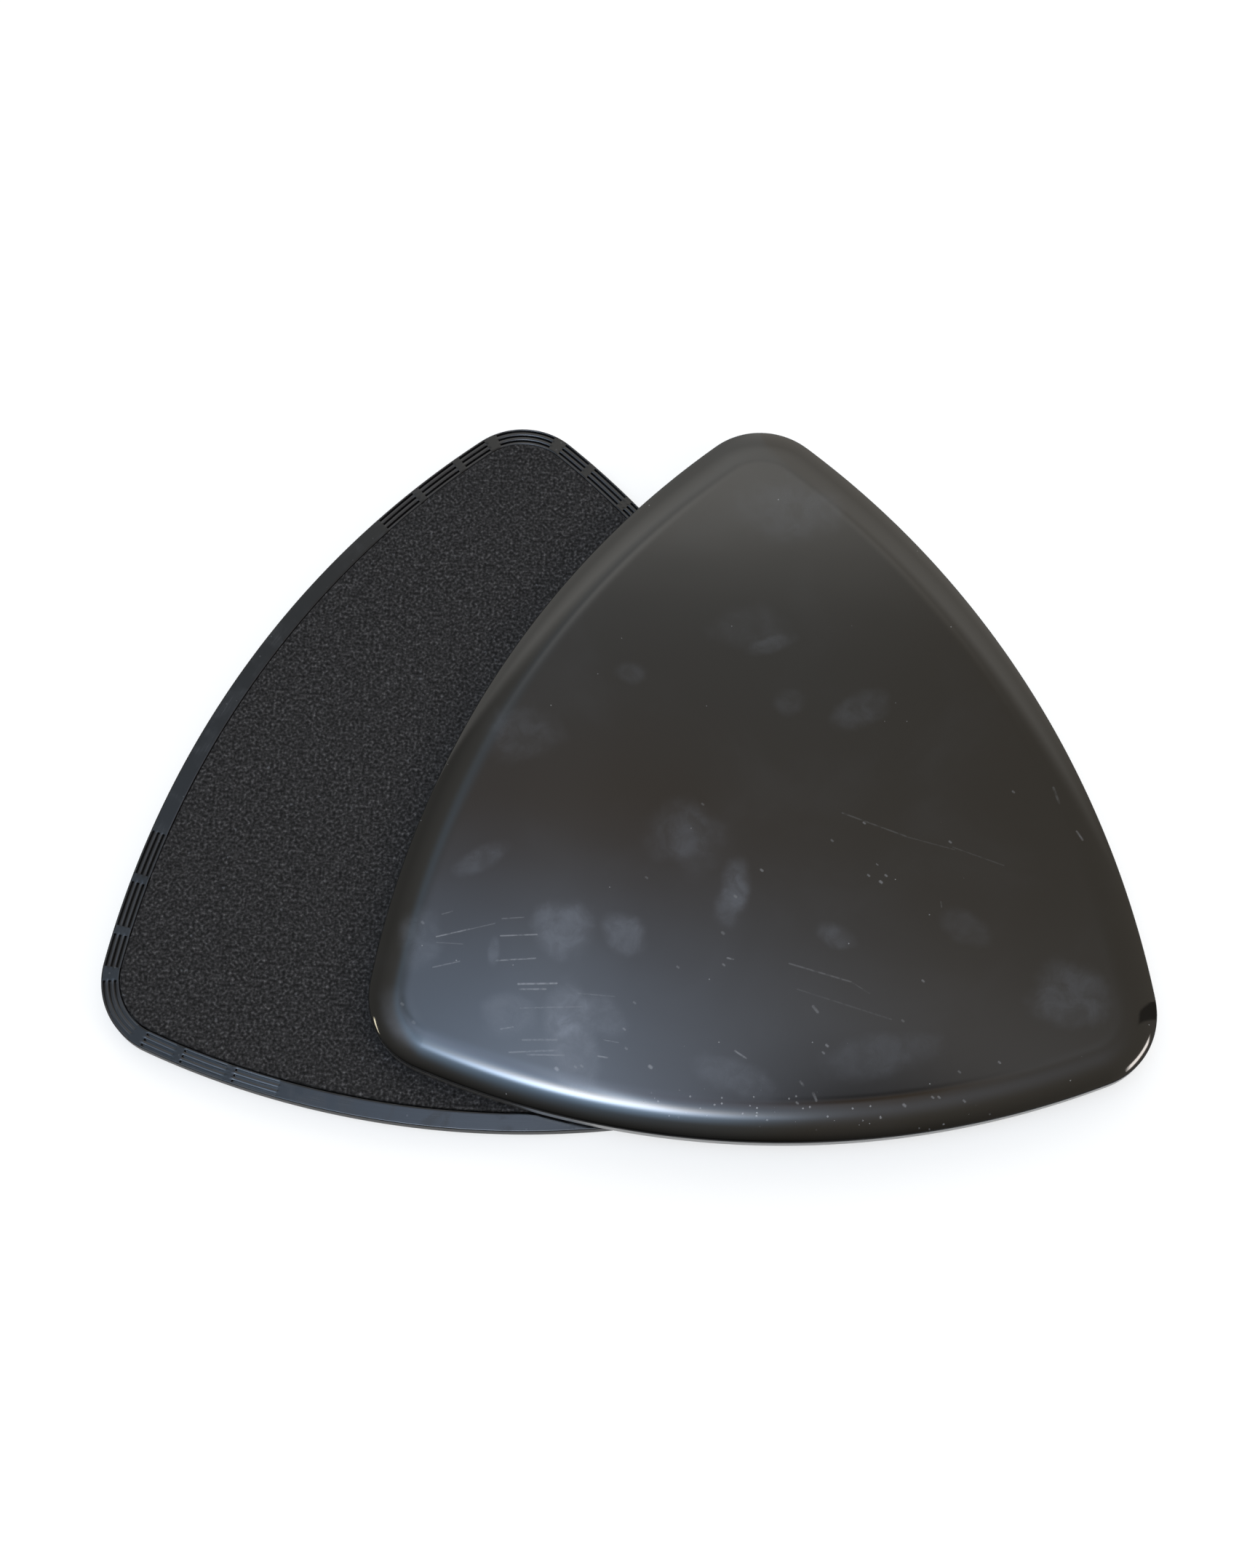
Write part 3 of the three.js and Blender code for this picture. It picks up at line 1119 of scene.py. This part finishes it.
@dataclass(frozen=True)
class FoamFinish(Finish):
    """Charcoal closed-cell foam: light and dark grains about a millimetre across."""

    colour: Colour = (0.0212, 0.0204, 0.0205)
    grain_colour: Colour = (0.08, 0.082, 0.088)
    fine_scale: float = 1150.0
    fine_share: float = 1.12
    wide_scale: float = 330.0
    wide_share: float = 0.13
    middle: float = 0.625
    contrast: float = 4.6
    roughness: float = 0.85
    specular: float = 0.12
    grain_height: float = 0.12 * MM

    def dress(self, wiring: Wiring, shader: bpy.types.Node, place: Any, effects: Effects) -> None:
        """Feeds the shader.

        The colour is multiplied by e to the power of the grain, so that light grains stand out
        more than dark ones.

        Args:
            wiring: adds nodes to the material.
            shader: its Principled shader.
            place: its Object coordinates.
            effects: the shared effects.
        """
        fine = wiring.noise(place, self.fine_scale, detail=1, rough=0.5)
        wide = wiring.noise(place, self.wide_scale, detail=1, rough=0.5)
        both = wiring.sum_up("MULTIPLY", fine, self.fine_share)
        both = wiring.sum_up("MULTIPLY_ADD", wide, self.wide_share, both)
        power = wiring.sum_up("MULTIPLY_ADD", both, self.contrast, -self.middle * self.contrast)
        tinted = wiring.scaled(self.colour, wiring.sum_up("EXPONENT", power))
        given = {"Vector": place, "Cells": 620.0, "Size": 0.27, "Kept": 0.035}
        specks = wiring.group(effects.specks, given)
        lit = wiring.sum_up("MULTIPLY", specks, wiring.step(fine, 0.4, 0.7))
        wiring.fill(shader, {
            "Base Color": wiring.mix(lit, tinted, (*self.grain_colour, 1)),
            "Roughness": self.roughness,
            "Specular IOR Level": self.specular,
        })
        wiring.bump(shader, fine, 0.7, self.grain_height)


@dataclass(frozen=True)
class FilmFinish(Finish):
    """Cloudy adhesive film."""

    colour: Colour = (0.62, 0.60, 0.52)
    bubble_colour: Colour = (0.72, 0.71, 0.66)
    roughness: float = 0.45

    def dress(self, wiring: Wiring, shader: bpy.types.Node, place: Any, effects: Effects) -> None:
        """Feeds the shader: paler clouds where air is caught.

        Args:
            wiring: adds nodes to the material.
            shader: its Principled shader.
            place: its Object coordinates.
            effects: the shared effects.
        """
        given = {"Vector": place, "Scale": 90.0, "Low": 0.45, "High": 0.6}
        bubbles = wiring.group(effects.clouds, given)
        colour = wiring.mix(bubbles, (*self.colour, 1), (*self.bubble_colour, 1))
        wiring.fill(shader, {"Base Color": colour, "Roughness": self.roughness})


@dataclass(frozen=True)
class FloorFinish(Finish):
    """Pale paper that the camera, gloss and glass see lifted to white, with shadows on it."""

    colour: Colour = (0.48, 0.47, 0.45)
    lift: Colour = (0.55, 0.55, 0.55)

    def dress(self, wiring: Wiring, shader: bpy.types.Node, place: Any, effects: Effects) -> None:
        """Feeds the shader: a plain matt colour and the lift.

        Args:
            wiring: adds nodes to the material.
            shader: its Principled shader.
            place: not used.
            effects: not used.
        """
        rays = wiring.add("ShaderNodeLightPath").outputs
        seen = wiring.sum_up("MAXIMUM", rays["Is Camera Ray"], rays["Is Glossy Ray"])
        seen = wiring.sum_up("MAXIMUM", seen, rays["Is Transmission Ray"])
        wiring.fill(shader, {
            "Base Color": (*self.colour, 1),
            "Roughness": 1.0,
            "Specular IOR Level": 0.0,
            "Emission Color": wiring.scaled(self.lift, seen),
            "Emission Strength": 1.0,
        })


@dataclass(frozen=True)
class Finishes:
    """The materials that a disc is dressed in."""

    gloss: bpy.types.Material
    rim: bpy.types.Material
    lip: bpy.types.Material
    seam: bpy.types.Material
    foam: bpy.types.Material
    film: bpy.types.Material


@dataclass
class Disc:
    """One gliding disc: its shell, its pad and the film between them."""

    place: Place
    seat: Seat
    outline: Outline = field(default_factory=Outline)
    grooves: RimGrooves = field(default_factory=RimGrooves)
    section: Section = field(default_factory=Section)
    pad: PadSizes = field(default_factory=PadSizes)
    column_length: float = 1.2 * MM
    narrowest_column: float = 0.24 * MM
    pad_column_length: float = 1.6 * MM
    face_shares: tuple[float, ...] = (0.98, 0.93, 0.85, 0.72, 0.55, 0.36, 0.18, 0.07)
    pad_rings: int = 46
    pad_ring_crowding: float = 1.15

    @property
    def body(self) -> str:
        """Name of the body that the disc is."""
        return f"{self.place.value}_disc"

    def columns(self, spacing: float, with_run_ends: bool) -> np.ndarray:
        """Lengths along the outline where a surface has a column of points.

        Args:
            spacing: the longest gap between two columns.
            with_run_ends: adds a pair of columns at each end of each run of grooves.

        Returns:
            The lengths in order.
        """
        count = self.outline.corners * math.ceil(self.outline.share_length / spacing)
        even = np.linspace(0, self.outline.length, count, endpoint=False)
        if not with_run_ends:
            return even
        corners = np.arange(self.outline.corners) * self.outline.share_length
        ends = (corners[:, None] + self.grooves.ends()[None, :]).ravel() % self.outline.length
        gap = np.abs(even[:, None] - ends[None, :]).min(axis=1)
        return np.sort(np.concatenate([even[gap > self.narrowest_column], ends]))

    def rings(
        self, lengths: np.ndarray, profile: np.ndarray, heights: np.ndarray | None = None
    ) -> np.ndarray:
        """Rings of points set in from the outline.

        A ring's point is the outline's point less the inset times the outward direction.

        Args:
            lengths: lengths along the outline, one for each column.
            profile: rows of inset and height, one for each ring.
            heights: heights of shape (rows, columns), where they vary along the outline.

        Returns:
            Points of shape (rows, columns, 3).
        """
        point, outward = self.outline.stations(lengths)
        flat = point[None] - profile[:, 0][:, None, None] * outward[None]
        level = heights
        if heights is None:
            level = np.broadcast_to(profile[:, 1][:, None], flat.shape[:2])
        return np.concatenate([flat, level[:, :, None]], axis=2)

    @staticmethod
    def shrunk(ring: np.ndarray, shares: np.ndarray) -> np.ndarray:
        """Copies of a ring drawn in towards the disc's centre, each to one share of its size."""
        return ring[None] * np.stack([shares, shares, np.ones_like(shares)], axis=1)[:, None, :]

    def build_shell(self, finishes: Finishes) -> bpy.types.Object:
        """Builds the moulded shell.

        Its rings run from the pocket's floor down its wall, out across the rim and its grooves,
        and up over the lip and the roll to the glide face. In a groove's rows the height is the
        groove's depth times the row's share of it, in the columns where the run is open.

        Args:
            finishes: the materials.

        Returns:
            The piece.
        """
        section, grooves = self.section, self.grooves
        lengths = self.columns(self.column_length, with_run_ends=True)
        _, local = self.outline.from_corner(lengths)
        opened = grooves.open_at(local)
        wall = np.array([(grooves.rim_width, section.pocket_depth)])
        edge = section.rim_round
        inner = section.arc((grooves.rim_width - edge, edge), edge, -90, -180)
        across = grooves.profile()
        outer = section.arc((edge, edge), edge, 180, 90)
        flat_rim = np.stack([across[:, 0], np.zeros(len(across))], axis=1)
        profile = np.concatenate([wall, inner, flat_rim, outer, section.roll()])
        depth = np.zeros(len(profile))
        start = len(wall) + len(inner)
        depth[start:start + len(across)] = across[:, 1] * grooves.depth
        heights = profile[:, 1][:, None] + depth[:, None] * opened[None, :]
        edge_rings = self.rings(lengths, profile, heights)
        face = self.shrunk(edge_rings[-1], np.array(self.face_shares))
        rings = np.concatenate([edge_rings, face])
        rim_end = start + len(across) + len(outer) - 2
        lip_end = start + len(across) + len(outer)
        finish_rows = np.full(len(rings) - 1, ShellFace.GLOSS.value)
        finish_rows[:rim_end] = ShellFace.RIM.value
        finish_rows[rim_end:lip_end - 1] = ShellFace.SEAM.value
        finish_rows[lip_end - 1] = ShellFace.LIP.value
        finish_rows[lip_end:lip_end + section.round_steps] = ShellFace.SEAM.value
        insets = np.concatenate([profile[:, 0], np.full(len(face), section.roll_width)])
        poles = [np.array([0, 0, section.pocket_depth]), np.array([0, 0, section.height])]
        placed = self.seat.put(rings)
        ends = [self.seat.put(pole) for pole in poles]
        name = f"{self.place.value}_moulded_shell"
        mesh = surface_mesh(name, placed, ends, finish_rows)
        per_point = {
            EDGE_INSET: np.repeat(insets, len(lengths)),
            GROOVED: np.tile(opened, len(insets)),
        }
        for label, values in per_point.items():
            closed = np.concatenate([values, values[[0, -1]]])
            mesh.attributes.new(label, "FLOAT", "POINT").data.foreach_set("value", closed)
        # Only the upper disc's lip gets the light grey painted reflection; the lower disc's lip
        # gets the dark seam finish
        lip = finishes.seam if self.seat.turned_over else finishes.lip
        piece = add_piece(name, mesh, [finishes.gloss, finishes.rim, lip, finishes.seam])
        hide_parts(f"{self.place.value}_shell")
        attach(piece, self.body)
        return piece

    def build_pad(self, finishes: Finishes) -> bpy.types.Object:
        """Builds the foam pad.

        Its free face swells and sinks by a sum of sine waves of x and y, and sinks a little
        towards its rounded edge. Its side goes straight up to the glued face.

        Args:
            finishes: the materials.

        Returns:
            The piece.
        """
        sizes, inset = self.pad, self.grooves.rim_width + self.pad.clearance
        lengths = self.columns(self.pad_column_length, with_run_ends=False)
        edge_centre = (inset + sizes.edge_round, sizes.edge_round - sizes.proud)
        edge = self.section.arc(edge_centre, sizes.edge_round, 180, 90)
        glued = np.array([(inset, self.section.pocket_depth - sizes.film)])
        rim = self.rings(lengths, np.concatenate([edge, glued]))
        steps = np.linspace(1, 0, self.pad_rings, endpoint=False)
        face = self.shrunk(rim[0], 1 - steps**self.pad_ring_crowding)
        waves = np.zeros(face.shape[:2])
        for along_x, along_y, start in sizes.waves:
            waves += np.sin(along_x * face[:, :, 0] + along_y * face[:, :, 1] + start)
        swell = sizes.swell * (0.5 + 0.5 * waves / len(sizes.waves))
        face[:, :, 2] += swell
        rim[:-1, :, 2] += swell[-1][None, :]
        rings = np.concatenate([face, rim])
        poles = [face[0].mean(axis=0), np.array([0, 0, glued[0, 1]])]
        placed = self.seat.put(rings)
        ends = [self.seat.put(pole) for pole in poles]
        name = f"{self.place.value}_pad"
        mesh = surface_mesh(name, placed, ends, np.zeros(len(rings) - 1))
        piece = add_piece(name, mesh, [finishes.foam])
        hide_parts(f"{self.place.value}_foam_pad")
        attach(piece, self.body)
        return piece

    def dress_film(self, finishes: Finishes) -> bpy.types.Object:
        """Gives the adhesive film its material.

        Args:
            finishes: the materials.

        Returns:
            The piece.
        """
        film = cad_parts[f"{self.place.value}_pad_film"]
        for holder in film.material_slots:
            holder.material = finishes.film
        return film

    def build(self, finishes: Finishes) -> None:
        """Builds and dresses every piece of the disc, and reports each.

        Args:
            finishes: the materials.
        """
        shell, pad = self.build_shell(finishes), self.build_pad(finishes)
        for piece in (shell, pad, self.dress_film(finishes)):
            LOG.info("%s: %d faces on %s", piece.name, len(piece.data.polygons), self.body)


@dataclass(frozen=True)
class Ramp:
    """A smooth step across the sky, from 0 at its start to 1 at its end.

    It reads a direction's x over z times the first number of lean, plus its y over z times the
    second.
    """

    lean: Pair
    start: float
    end: float


@dataclass(frozen=True)
class Sheet:
    """A patch of even light in the sky, bounded by ramps. A negative colour takes light away."""

    colour: Colour
    ramps: tuple[Ramp, ...]


@dataclass(frozen=True)
class Lobe:
    """A round patch of light in the sky that falls off as e to minus the squared distance.

    Its centre and spread are slopes: a direction's x and y over its z.
    """

    colour: Colour
    centre: Pair
    spread: Pair


RIGHTWARDS = (1.0, 0.0)
FARWARDS = (0.0, 1.0)

WARM_SIDE = Sheet((-0.081, -0.128, -0.173), (Ramp(RIGHTWARDS, 0.035, 0.167),))
FAR_WINDOW = Sheet(
    (0.59, 0.583, 0.557),
    (
        Ramp((-0.42, 1.0), 0.288, 0.508),
        Ramp((1.0, 1.745), 0.6, 0.965),
        Ramp((-0.843, 1.0), -0.994, 1.006),
    ),
)
FAR_WINDOW_LOW = Sheet(
    (0.69, 0.682, 0.652),
    (*FAR_WINDOW.ramps, Ramp(FARWARDS, 1.607, 0.3)),
)
LAMP_HALO = Sheet(
    (3.061, 4.811, 7.045),
    (
        Ramp(FARWARDS, 0.303, 0.154),
        Ramp(RIGHTWARDS, 0.136, -0.162),
        Ramp(RIGHTWARDS, -0.232, -0.015),
        Ramp(FARWARDS, -0.615, -0.18),
    ),
)
LOW_WINDOW = Sheet(
    (14.0, 12.9, 12.2),
    (
        Ramp((0.62, -0.785), 1.25, 1.32),
        Ramp((0.62, -0.785), 1.6, 1.52),
        Ramp((0.785, 0.62), 0.42, 0.6),
        Ramp((0.785, 0.62), 1.6, 1.35),
    ),
)
LEFT_WINDOW = Sheet(
    (17.0, 15.5, 11.5),
    (
        Ramp(RIGHTWARDS, -1.66, -1.72),
        Ramp(RIGHTWARDS, -1.9, -1.82),
        Ramp(FARWARDS, -0.62, -0.56),
        Ramp(FARWARDS, -0.15, -0.25),
    ),
)
DOORWAY = Sheet(
    (-0.42, -0.38, -0.32),
    (
        Ramp((-0.13, 1.0), 0.0, 0.05),
        Ramp((0.36, -1.0), 0.0, 0.06),
        Ramp(RIGHTWARDS, 0.7, 0.9),
    ),
)
SHEETS = (FAR_WINDOW, FAR_WINDOW_LOW, LAMP_HALO, LOW_WINDOW, LEFT_WINDOW, DOORWAY)

LAMP_CORE = Lobe((9.699, 8.446, 7.079), (-0.066, -0.151), (0.079, 0.097))
LAMP_END = Lobe((3.294, 3.846, 4.487), (-0.03, -0.051), (0.02, 0.178))
LAMP_GLOW = Lobe((0.924, 1.036, 1.303), (-0.266, -0.139), (0.491, 0.246))
LAMP_NEAR = Lobe((9.375, 11.885, 15.821), (-0.106, -0.219), (0.106, 0.079))
LAMP_LEFT = Lobe((0.859, 1.694, 2.696), (-0.213, -0.167), (0.166, 0.395))
LAMP_RIGHT = Lobe((0.687, 0.782, 0.915), (0.091, 0.165), (0.095, 0.059))
LAMP_GAP = Lobe((-0.97, -1.128, -1.344), (0.081, 0.14), (0.057, 0.043))
HALO_DIP = Lobe((-0.497, -1.288, -1.945), (-0.066, 0.1), (0.127, 0.155))
HALO_LEFT_DIP = Lobe((-1.029, -1.295, -1.802), (-0.133, 0.18), (0.057, 0.041))
FAR_GLOW = Lobe((0.918, 0.889, 0.833), (-0.01, 0.435), (0.155, 0.038))
LOBES = (
    LAMP_CORE,
    LAMP_END,
    LAMP_GLOW,
    LAMP_NEAR,
    LAMP_LEFT,
    LAMP_RIGHT,
    LAMP_GAP,
    HALO_DIP,
    HALO_LEFT_DIP,
    FAR_GLOW,
)
BEAM = Lobe((0.792, 0.792, 0.792), (0.091, 0.177), (0.044, 0.021))


@dataclass(frozen=True)
class Sky:
    """The soft light all round the studio, with a long lamp overhead and windows beyond.

    A direction is read as its slopes, which are x and y over z: the zenith is 0, 0. The even
    light, warmer on the right, is dimmed towards the left and towards the near side. The sheets
    and lobes are added to it, and a beam takes a share of the sum away. What the camera sees past
    the floor is plain white.
    """

    even: Colour = (0.685, 0.673, 0.629)
    warm: Sheet = WARM_SIDE
    left: Ramp = Ramp(RIGHTWARDS, 0.1, -1.488)
    left_dimming: float = 0.42
    near: Ramp = Ramp(FARWARDS, -0.273, -1.59)
    near_side: Ramp = Ramp(RIGHTWARDS, 1.329, 0.007)
    near_dimming: float = 0.987
    lowest_rise: float = 0.02
    sheets: tuple[Sheet, ...] = SHEETS
    lobes: tuple[Lobe, ...] = LOBES
    beam: Lobe = BEAM

    @staticmethod
    def ramp(wiring: Wiring, slopes: Any, ramp: Ramp) -> bpy.types.NodeSocket:
        """Value of a ramp."""
        leaned = wiring.vector("DOT_PRODUCT", slopes, (*ramp.lean, 0.0)).outputs["Value"]
        return wiring.step(leaned, ramp.start, ramp.end)

    def sheet(self, wiring: Wiring, slopes: Any, sheet: Sheet) -> bpy.types.NodeSocket:
        """Works out the light of a sheet: its colour times all its ramps.

        Args:
            wiring: adds nodes to the world.
            slopes: a direction's slopes.
            sheet: the sheet.

        Returns:
            The light's socket.
        """
        strength = self.ramp(wiring, slopes, sheet.ramps[0])
        for ramp in sheet.ramps[1:]:
            strength = wiring.sum_up("MULTIPLY", strength, self.ramp(wiring, slopes, ramp))
        return wiring.scaled(sheet.colour, strength)

    @staticmethod
    def lobe(wiring: Wiring, slopes: Any, lobe: Lobe) -> bpy.types.NodeSocket:
        """Works out the light of a lobe.

        Args:
            wiring: adds nodes to the world.
            slopes: a direction's slopes.
            lobe: the lobe.

        Returns:
            The light's socket.
        """
        away = wiring.vector("SUBTRACT", slopes, (*lobe.centre, 1.0)).outputs[0]
        shares = wiring.vector("DIVIDE", away, (*lobe.spread, 1.0)).outputs[0]
        square = wiring.vector("DOT_PRODUCT", shares, shares).outputs["Value"]
        fall = wiring.sum_up("EXPONENT", wiring.sum_up("MULTIPLY", square, -1.0))
        return wiring.scaled(lobe.colour, fall)

    def build(self) -> None:
        """Builds the world's nodes."""
        world = bpy.data.worlds.new("studio_sky")
        bpy.context.scene.world = world
        world.use_nodes = True
        wiring = Wiring(world.node_tree)
        background = world.node_tree.nodes["Background"]
        way = wiring.add("ShaderNodeTexCoord").outputs["Generated"]
        rise = wiring.add("ShaderNodeSeparateXYZ", {"Vector": way}).outputs["Z"]
        up = wiring.sum_up("MAXIMUM", rise, self.lowest_rise)
        slopes = wiring.scaled(way, wiring.sum_up("DIVIDE", 1.0, up))
        left = self.ramp(wiring, slopes, self.left)
        left = wiring.sum_up("MULTIPLY_ADD", left, -self.left_dimming, 1.0)
        near = self.ramp(wiring, slopes, self.near)
        near = wiring.sum_up("MULTIPLY", near, self.ramp(wiring, slopes, self.near_side))
        near = wiring.sum_up("MULTIPLY_ADD", near, -self.near_dimming, 1.0)
        plain = wiring.vector("ADD", self.sheet(wiring, slopes, self.warm), self.even).outputs[0]
        total = wiring.scaled(plain, wiring.sum_up("MULTIPLY", left, near))
        for sheet in self.sheets:
            total = wiring.vector("ADD", total, self.sheet(wiring, slopes, sheet)).outputs[0]
        for lobe in self.lobes:
            total = wiring.vector("ADD", total, self.lobe(wiring, slopes, lobe)).outputs[0]
        taken = self.lobe(wiring, slopes, self.beam)
        kept = wiring.vector("SUBTRACT", (1.0, 1.0, 1.0), taken).outputs[0]
        total = wiring.vector("MULTIPLY", total, kept).outputs[0]
        total = wiring.vector("MAXIMUM", total, (0.0, 0.0, 0.0)).outputs[0]
        seen = wiring.add("ShaderNodeLightPath").outputs["Is Camera Ray"]
        wiring.feed(background.inputs["Color"], wiring.mix(seen, total, (1.0, 1.0, 1.0, 1.0)))


@dataclass(frozen=True)
class Studio:
    """The floor, the light and the camera."""

    floor_reach: float = 60.0
    camera_place: Point = (0.041247, -0.221429, 0.779717)
    camera_target: Point = (0.02542, 0.116641, 0.0)
    camera_right: Point = (0.998906, 0.046764, 0.0)
    lens: float = 61.106
    sensor: float = 36.0
    shift: Pair = (0.01485, -0.19735)

    def build_floor(self, effects: Effects) -> None:
        """Builds the floor: a plain pale sheet.

        Args:
            effects: the shared effects.
        """
        reach = self.floor_reach
        corners = [(-reach, -reach, 0), (reach, -reach, 0), (reach, reach, 0), (-reach, reach, 0)]
        mesh = bpy.data.meshes.new("floor")
        mesh.from_pydata(corners, [], [(0, 1, 2, 3)])
        material = FloorFinish().material("floor_paper", effects)
        add_piece("floor", mesh, [material])

    def build_camera(self) -> None:
        """Sets the camera where the photograph was taken from."""
        data = bpy.data.cameras.new("camera")
        data.lens = self.lens
        data.sensor_width = self.sensor
        data.shift_x, data.shift_y = self.shift
        camera = bpy.data.objects.new("camera", data)
        place = Vector(self.camera_place)
        right = Vector(self.camera_right)
        ahead = (Vector(self.camera_target) - place).normalized()
        up = right.cross(ahead)
        turn = Matrix((right, up, -ahead)).transposed().to_4x4()
        camera.matrix_world = Matrix.Translation(place) @ turn
        bpy.context.scene.collection.objects.link(camera)
        bpy.context.scene.camera = camera

    def build(self, effects: Effects) -> None:
        """Builds the studio.

        Args:
            effects: the shared effects.
        """
        self.build_floor(effects)
        self.build_camera()
        Sky().build()
        bpy.context.scene.view_settings.view_transform = "Standard"


SEATS = {
    Place.LOWER: Seat(turned_over=True, turn_degrees=0, shift=(0, 0, 8 * MM)),
    Place.UPPER: Seat(turned_over=False, turn_degrees=1.4, shift=(77.7 * MM, -0.8 * MM, 9.9 * MM)),
}
SEAM_FINISH = LipFinish(
    colour=(0.004, 0.004, 0.004),
    cloud_colour=(0.012, 0.012, 0.012),
    roughness=0.5,
    specular=0.2,
)


def main() -> None:
    """Builds the studio and both discs."""
    logging.basicConfig(level=logging.INFO, format="%(name)s: %(message)s")
    effects = Effects()
    Studio().build(effects)
    finishes = Finishes(
        gloss=GlossFinish().material("shell_gloss", effects),
        rim=RimFinish().material("shell_rim", effects),
        lip=LipFinish().material("shell_lip_painted_reflection", effects),
        seam=SEAM_FINISH.material("shell_seam", effects),
        foam=FoamFinish().material("pad_foam_skin", effects),
        film=FilmFinish().material("pad_adhesive_film", effects),
    )
    for place, seat in SEATS.items():
        Disc(place, seat).build(finishes)


if __name__ == "__main__":
    main()
